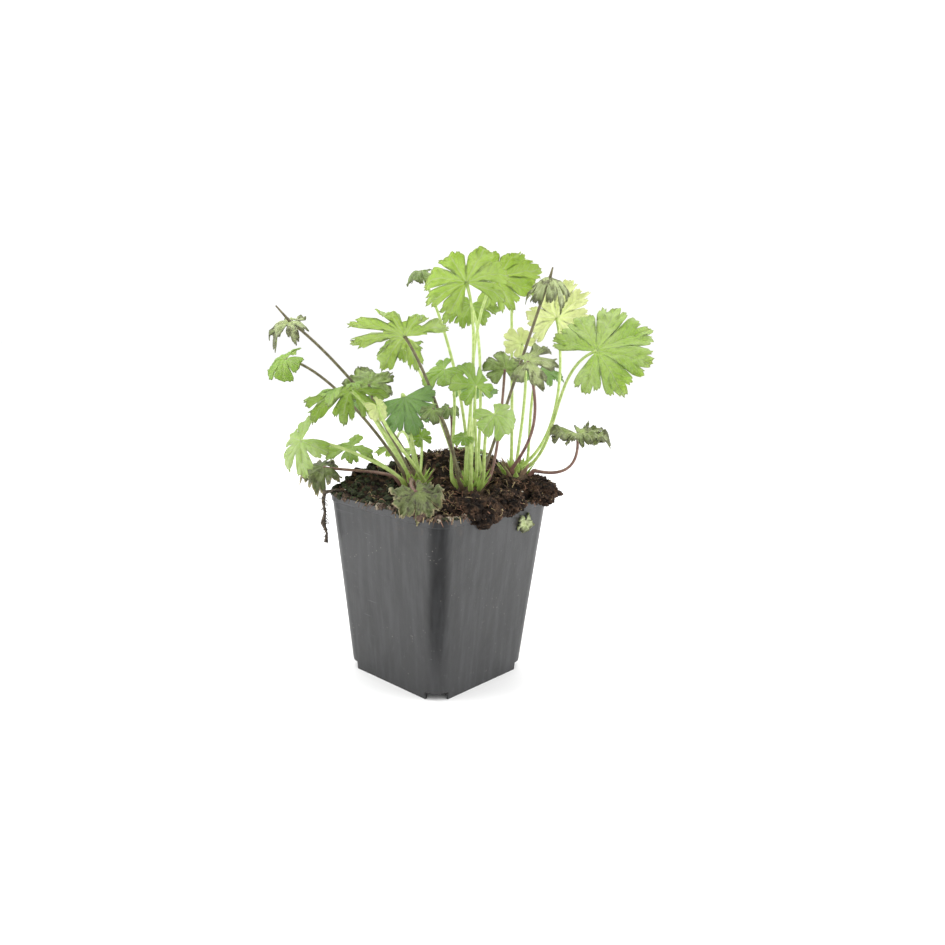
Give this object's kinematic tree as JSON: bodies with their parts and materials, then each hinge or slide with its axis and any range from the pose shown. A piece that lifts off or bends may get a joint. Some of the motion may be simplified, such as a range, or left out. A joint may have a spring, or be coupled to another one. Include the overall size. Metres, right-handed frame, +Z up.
{
  "type": "hardy geranium in a square nursery pot",
  "caption": "Young hardy geranium with lobed, toothed leaves on long stalks, growing from crowns in peat, in a tapered square plastic nursery pot.",
  "frame": {"origin": "centre of the pot's underside, on the foot disc that stands on the ground", "axes": "+Z up; +X and +Y square to two faces of the pot; the picture looks at the upright corner between the +X and -Y faces"},
  "size_m": [0.1775, 0.1723, 0.231],
  "materials": {
    "pot": "semi-matt anthracite, lightly scuffed",
    "peat": "damp crumbly peat",
    "dry_root": "dry fibrous root",
    "crown": "waxy green rootstock",
    "leaf_fresh": "soft fresh green leaf, light shows through it",
    "leaf_deep": "bluish green leaf",
    "leaf_dark": "dark young leaf with purplish margins",
    "leaf_pale": "pale yellowish leaf, light shows through it",
    "leaf_dry": "withered grey-brown leaf"
  },
  "bodies": {
    "root": {"pot": "pot", "soil": "peat", "root_strand": "dry_root", "crown_left": "crown", "crown_centre": "crown", "crown_right": "crown", "leaf_far_left": "leaf_dark", "leaf_left_drooping": "leaf_fresh", "leaf_left_back": "leaf_dark", "leaf_left_folded": "leaf_deep", "leaf_left_curl": "leaf_pale", "leaf_left_large": "leaf_fresh", "leaf_left_low": "leaf_fresh", "leaf_left_small": "leaf_fresh", "leaf_left_pale": "leaf_fresh", "leaf_left_rim": "leaf_dark", "leaf_withered": "leaf_dry", "leaf_back_left": "leaf_deep", "leaf_back_low": "leaf_fresh", "leaf_top_front": "leaf_fresh", "leaf_top_right": "leaf_fresh", "leaf_top_small": "leaf_dark", "leaf_star": "leaf_fresh", "leaf_centre_left": "leaf_fresh", "leaf_centre_dark": "leaf_dark", "leaf_centre": "leaf_fresh", "leaf_centre_crinkled": "leaf_dark", "leaf_centre_brown": "leaf_dark", "leaf_centre_bright": "leaf_fresh", "leaf_centre_low": "leaf_fresh", "leaf_umbrella": "leaf_dark", "leaf_back_top": "leaf_fresh", "leaf_back_star": "leaf_fresh", "leaf_back_centre": "leaf_deep", "leaf_back_rim": "leaf_deep", "leaf_right_large": "leaf_fresh", "leaf_pale_back": "leaf_pale", "leaf_pale_small": "leaf_pale", "leaf_right_folded": "leaf_dark", "leaf_right_crinkled": "leaf_dark", "leaf_back_high": "leaf_fresh", "leaf_back_right": "leaf_deep", "leaf_scrap": "leaf_dry"}
  },
  "joints": []
}
